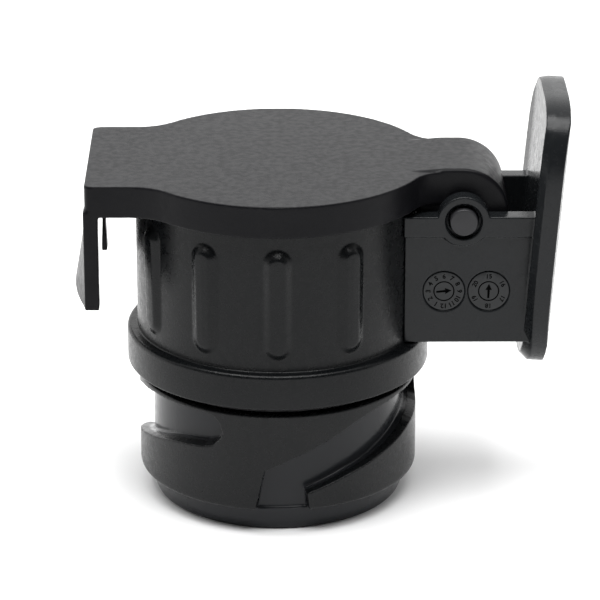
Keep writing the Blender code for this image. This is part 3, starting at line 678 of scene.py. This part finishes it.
def make_lid():
    lid = prism("lid_fine", lid_outline(), LID_BOTTOM, LID_TOP)
    leg_low_y = -TAB_HALF_WIDTH + 0.05 * MM
    leg = block(
        "leg",
        (TAB_END_X - 0.25 * MM, leg_low_y, LEG_BOTTOM),
        (LEG_INNER_X, leg_low_y + LEG_DEPTH_Y, LID_BOTTOM + 1 * MM),
    )
    barb_halves = ((0.0, 0.52), (5.4, 0.3), (9.0, 0.4), (18.0, 0.6))
    barb = [(-half, height) for height, half in barb_halves]
    barb += [(half, height) for height, half in barb_halves[::-1]]
    barb = [((x + WEDGE_X) * MM, LEG_BOTTOM + z * MM) for x, z in barb]
    wedge = prism("wedge", barb, TAB_HALF_WIDTH - LEG_DEPTH_Y, TAB_HALF_WIDTH - 0.1 * MM, "Y")
    join(lid, neck_block(), leg, hook_skin(), wedge)
    room = rod("room", SPRING_ROOM_R, -SPRING_ROOM_HALF, SPRING_ROOM_HALF)
    mouth = block(
        "mouth",
        (PIN_X - SPRING_ROOM_R, -SPRING_ROOM_HALF, PIN_Z - 12 * MM),
        (PIN_X + SPRING_ROOM_R, SPRING_ROOM_HALF, PIN_Z),
    )
    bore = rod("bore", PIN_R + 0.25 * MM, -KNUCKLE_HALF - 1 * MM, KNUCKLE_HALF + 1 * MM)
    round_shell = arc((0, 0), GRIP_R + 0.5 * MM, 0, 358, 180)
    shell_room = prism("shell_room", round_shell, 40 * MM, LID_BOTTOM)
    cut(lid, room, mouth, bore, shell_room)
    moulded(lid, 4, 0.3)
    return dress(lid, "lid", LID_BLACK, "black_grained", "lid")


def plate_outline():
    """The stop plate seen along X: a rounded oblong, squarer at its top than at its foot."""
    middle = (PLATE_TOP + PLATE_BOTTOM) / 2
    half_height = (PLATE_TOP - PLATE_BOTTOM) / 2
    steps = 80
    right = []
    for i in range(steps + 1):
        angle = math.pi * (i / steps - 0.5)
        power = 3.8 if angle > 0 else 2.4
        across = PLATE_HALF_WIDTH * max(math.cos(angle), 0.0) ** (2 / power)
        rise = half_height * math.copysign(abs(math.sin(angle)) ** (2 / power), angle)
        right.append((across, middle + rise))
    return right + [(-y, z) for y, z in reversed(right[1:-1])]


def chamfered(outline):
    """The outline of the plate's inner face, inside a chamfer that narrows towards the top."""
    middle = Vector((0.0, (PLATE_TOP + PLATE_BOTTOM) / 2))
    points = []
    for a, here, b in zip(outline[-1:] + outline[:-1], outline, outline[1:] + outline[:1]):
        along = (Vector(b) - Vector(a)).normalized()
        inward = Vector((-along.y, along.x))
        if inward.dot(middle - Vector(here)) < 0:
            inward.negate()
        share = smooth((PLATE_TOP - here[1]) / (14 * MM))
        points.append(Vector(here) + inward * (0.35 * MM + share * 0.95 * MM))
    return points


def stop_plate():
    """The plate, with its inner edge chamfered and its two wings bent towards the shell."""
    outline = plate_outline()
    bm = bmesh.new()
    levels = [
        (-PLATE_THICK / 2, chamfered(outline)),
        (-PLATE_THICK / 2 + PLATE_CHAMFER, outline),
        (PLATE_THICK / 2, outline),
    ]
    rings = [[bm.verts.new((x, y, z)) for y, z in ring] for x, ring in levels]
    bm.faces.new(rings[0])
    bm.faces.new(rings[-1])
    for low, high in zip(rings, rings[1:]):
        for i in range(len(outline)):
            j = (i + 1) % len(outline)
            bm.faces.new((low[i], low[j], high[j], high[i]))
    plate = mesh_object("hinge_bracket_fine", bm)
    bm = bmesh.new()
    bm.from_mesh(plate.data)
    creases = [ARM_OUTER_Y + i * 0.05 * MM for i in range(3)]
    for crease in creases:
        for side in (-1, 1):
            geometry = bm.verts[:] + bm.edges[:] + bm.faces[:]
            bmesh.ops.bisect_plane(
                bm, geom=geometry, plane_co=(0, side * crease, 0), plane_no=(0, 1, 0), dist=1e-6
            )
    for vert in bm.verts:
        vert.co.x -= PLATE_WING_BEND * max(abs(vert.co.y) - ARM_OUTER_Y, 0.0)
    bm.to_mesh(plate.data)
    bm.free()
    plate.data.transform(Matrix.Translation((PLATE_THICK / 2, 0, -PLATE_BOTTOM)))
    plate.data.transform(Matrix.Rotation(PLATE_LEAN, 4, "Y"))
    plate.data.transform(Matrix.Translation((PLATE_FOOT_X, 0, PLATE_BOTTOM)))
    return plate


def make_bracket():
    bracket = stop_plate()
    far_x = PLATE_FOOT_X + 2.6 * MM
    band_y = ARM_OUTER_Y + BAND_PROUD
    for side in (-1, 1):
        inner, outer = sorted((side * ARM_INNER_Y, side * ARM_OUTER_Y))
        arm = block("arm", (ARM_LEFT_X - 3 * MM, inner, ARM_BOTTOM), (far_x, outer, ARM_TOP))
        inner, outer = sorted((side * ARM_INNER_Y, side * band_y))
        band_top = ARM_TOP - 0.01 * MM
        band = block("band", (ARM_LEFT_X - 3 * MM, inner, BAND_BOTTOM), (far_x, outer, band_top))
        boss = rod("boss", BOSS_R, inner, outer)
        join(bracket, arm, band, boss)
    saddle = block(
        "saddle",
        (19 * MM, -ARM_INNER_Y - 0.5 * MM, ARM_BOTTOM),
        (GRIP_R + SADDLE_THICK, ARM_INNER_Y + 0.5 * MM, 44 * MM),
    )
    join(bracket, saddle)
    shell_room = prism("room", arc((0, 0), GRIP_R + 0.12 * MM, 0, 358, 180), 10 * MM, 60 * MM)
    knuckle_room = rod("knuckle_room", KNUCKLE_R + 0.8 * MM, -ARM_INNER_Y, ARM_INNER_Y)
    bore = rod("bore", PIN_R + 0.15 * MM, -20 * MM, 20 * MM)
    recesses = [
        rod("recess", BOSS_RECESS_R, *sorted((side * (ARM_OUTER_Y - 0.5 * MM), side * 15 * MM)))
        for side in (-1, 1)
    ]
    seats = [
        rod("seat", DIAL_R + 0.05 * MM, -15 * MM, -ARM_OUTER_Y + 0.3 * MM, x, DIAL_Z)
        for x in (DIAL_LEFT_X, DIAL_RIGHT_X)
    ]
    cut(bracket, shell_room, knuckle_room, bore, *recesses, *seats)
    moulded(bracket, 2, 0.35, FINEST_VOXEL)
    return dress(bracket, "housing", BRACKET_BLACK, "black_satin", "hinge_bracket")


def figure(text, size, x, z, turn, depth):
    """One number as a solid to engrave, turned in the plane of the dial's face."""
    curve = bpy.data.curves.new("figure", "FONT")
    curve.body = text
    curve.size = size
    curve.align_x = "CENTER"
    curve.align_y = "CENTER"
    curve.extrude = depth
    curve.resolution_u = 3
    curve.offset = 0.03 * size
    obj = bpy.data.objects.new("figure", curve)
    bpy.context.scene.collection.objects.link(obj)
    bpy.context.view_layer.update()
    graph = bpy.context.evaluated_depsgraph_get()
    mesh = bpy.data.meshes.new_from_object(obj.evaluated_get(graph))
    mesh.transform(Matrix.Rotation(turn, 4, "Z"))
    mesh.transform(Matrix.Rotation(math.radians(90), 4, "X"))
    mesh.transform(Matrix.Translation((x, -ARM_OUTER_Y, z)))
    bpy.data.objects.remove(obj, do_unlink=True)
    bm = bmesh.new()
    bm.from_mesh(mesh)
    bmesh.ops.remove_doubles(bm, verts=bm.verts, dist=1e-7)
    return mesh_object("figure", bm)


def arrow(x, z, turn, length):
    """The dial's pointer: a slim shaft with a small head, along +X before it is turned."""
    half, head = length / 2, 0.42 * length
    outline = [
        (-half, -0.17 * MM), (half - head, -0.21 * MM), (half - head, -0.55 * MM), (half, 0.0),
        (half - head, 0.55 * MM), (half - head, 0.21 * MM), (-half, 0.17 * MM),
    ]
    c, s = math.cos(turn), math.sin(turn)
    outline = [(x + a * c - b * s, z + a * s + b * c) for a, b in outline]
    return prism("arrow", outline, -ARM_OUTER_Y - 0.3 * MM, -ARM_OUTER_Y + 0.16 * MM, "Y")


def make_dial(name, x, labels, size, pointer_turn, first_turn):
    """A date dial let into the arm: a flat ring of engraved numbers round a pointer disc."""
    face = -ARM_OUTER_Y + 0.02 * MM
    dial = rod(name, DIAL_R - 0.17 * MM, face, -ARM_OUTER_Y + 0.45 * MM, x, DIAL_Z, 96)
    bevelled(dial, 0.06 * MM, 2, 50)
    outer_y, inner_y = -ARM_OUTER_Y - 0.3 * MM, -ARM_OUTER_Y + 0.2 * MM
    moat_outer = rod("moat", MOAT_OUTER_R, outer_y, inner_y, x, DIAL_Z)
    moat_inner = rod("core", MOAT_INNER_R, outer_y - 0.2 * MM, inner_y + 0.1 * MM, x, DIAL_Z)
    cut(dial, cut(moat_outer, moat_inner))
    for i, label in enumerate(labels):
        angle = first_turn - 2 * math.pi * i / len(labels)
        place_x = x + DIAL_NUMBER_R * math.cos(angle)
        place_z = DIAL_Z + DIAL_NUMBER_R * math.sin(angle)
        cut(dial, figure(label, size, place_x, place_z, angle - math.pi / 2, 0.25 * MM))
    cut(dial, arrow(x, DIAL_Z, pointer_turn, DIAL_ARROW))
    sharp_smooth(dial, 30)
    return dress(dial, "housing", DIAL_BLACK, "black_satin")


def make_hinge_pin():
    pin = rod("hinge_pin_fine", PIN_R, -PIN_HALF, PIN_HALF, sides=96)
    bevelled(pin, 0.3 * MM, 4, 50)
    sharp_smooth(pin, 50)
    return dress(pin, "housing", PIN_BLACK, "pin_plastic", "hinge_pin")


def make_floor():
    bm = bmesh.new()
    bmesh.ops.create_circle(bm, cap_ends=True, segments=96, radius=3.0)
    mesh = bpy.data.meshes.new("floor")
    bm.to_mesh(mesh)
    bm.free()
    floor = link("floor", mesh)
    floor.location.z = -0.02 * MM
    n = Nodes("floor_white")
    paper = n.ramp(n.noise(40.0, 2.0), 0.0, 1.0)
    n.finish(base_color=n.mix_colour(paper, (0.90, 0.90, 0.90), (0.92, 0.92, 0.92)), roughness=0.9)
    floor.data.materials.append(n.material)
    return floor


def make_light():
    """A white room with a large soft light overhead; the side behind the camera is darker."""
    world = bpy.data.worlds.new("studio")
    bpy.context.scene.world = world
    world.use_nodes = True
    tree = world.node_tree
    background = tree.nodes["Background"]
    where = tree.nodes.new("ShaderNodeTexCoord").outputs["Generated"]
    split = tree.nodes.new("ShaderNodeSeparateXYZ")
    tree.links.new(where, split.inputs[0])
    front = tree.nodes.new("ShaderNodeMapRange")
    front.interpolation_type = "SMOOTHSTEP"
    front.inputs["From Min"].default_value = -0.5
    front.inputs["From Max"].default_value = 0.3
    front.inputs["To Min"].default_value = 0.08
    front.inputs["To Max"].default_value = 1.5
    tree.links.new(split.outputs["Y"], front.inputs["Value"])
    tree.links.new(front.outputs["Result"], background.inputs["Strength"])
    background.inputs["Color"].default_value = (1.0, 1.0, 1.0, 1.0)
    light = bpy.data.lights.new("overhead", "AREA")
    light.shape = "RECTANGLE"
    light.size = 0.9
    light.size_y = 0.6
    light.energy = 14.0
    lamp = bpy.data.objects.new("overhead", light)
    bpy.context.scene.collection.objects.link(lamp)
    lamp.location = (-0.05, -0.20, 1.0)
    aim = Vector((0, 0, 0.04)) - lamp.location
    lamp.rotation_euler = aim.to_track_quat("-Z", "Y").to_euler()


def make_camera():
    elevation = math.radians(21.38)
    azimuth = math.radians(0.35)
    distance = 0.5866
    target = Vector((3.84 * MM, 0.0, 33.52 * MM))
    back = Vector((
        -math.sin(azimuth) * math.cos(elevation),
        -math.cos(azimuth) * math.cos(elevation),
        math.sin(elevation),
    ))
    data = bpy.data.cameras.new("camera")
    data.sensor_width = 36.0
    data.lens = 204.0
    data.clip_start = 0.01
    data.clip_end = 20.0
    camera = bpy.data.objects.new("camera", data)
    bpy.context.scene.collection.objects.link(camera)
    camera.location = target + back * distance
    camera.rotation_euler = (-back).to_track_quat("-Z", "Y").to_euler()
    bpy.context.scene.camera = camera
    bpy.context.scene.view_settings.view_transform = "Standard"


def paint(node, mat):
    """Gives a CAD node that is shown as it is its material."""
    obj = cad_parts[node]
    obj.data.materials.clear()
    obj.data.materials.append(mat)


make_camera()
make_floor()
make_light()
make_shell()
make_barrel()
make_lid()
make_bracket()
make_hinge_pin()
MONTHS = [str(month) for month in range(1, 13)]
YEARS = [str(year) for year in range(15, 21)]
make_dial("date_dial_month", DIAL_LEFT_X, MONTHS, 1.15 * MM, math.radians(6), math.radians(240))
make_dial("date_dial_year", DIAL_RIGHT_X, YEARS, 1.1 * MM, math.radians(88), math.radians(90))
for name in CONTACTS + PINS:
    paint(name, BRASS)
for name in LEADS:
    paint(name, JACKET)
for name in ("torsion_spring", "snap_ring"):
    paint(name, STEEL)
for name in ("flange_seal", "lid_gasket"):
    paint(name, RUBBER)
for name in ("socket_insert", "plug_insert"):
    paint(name, INSERT_BLACK)
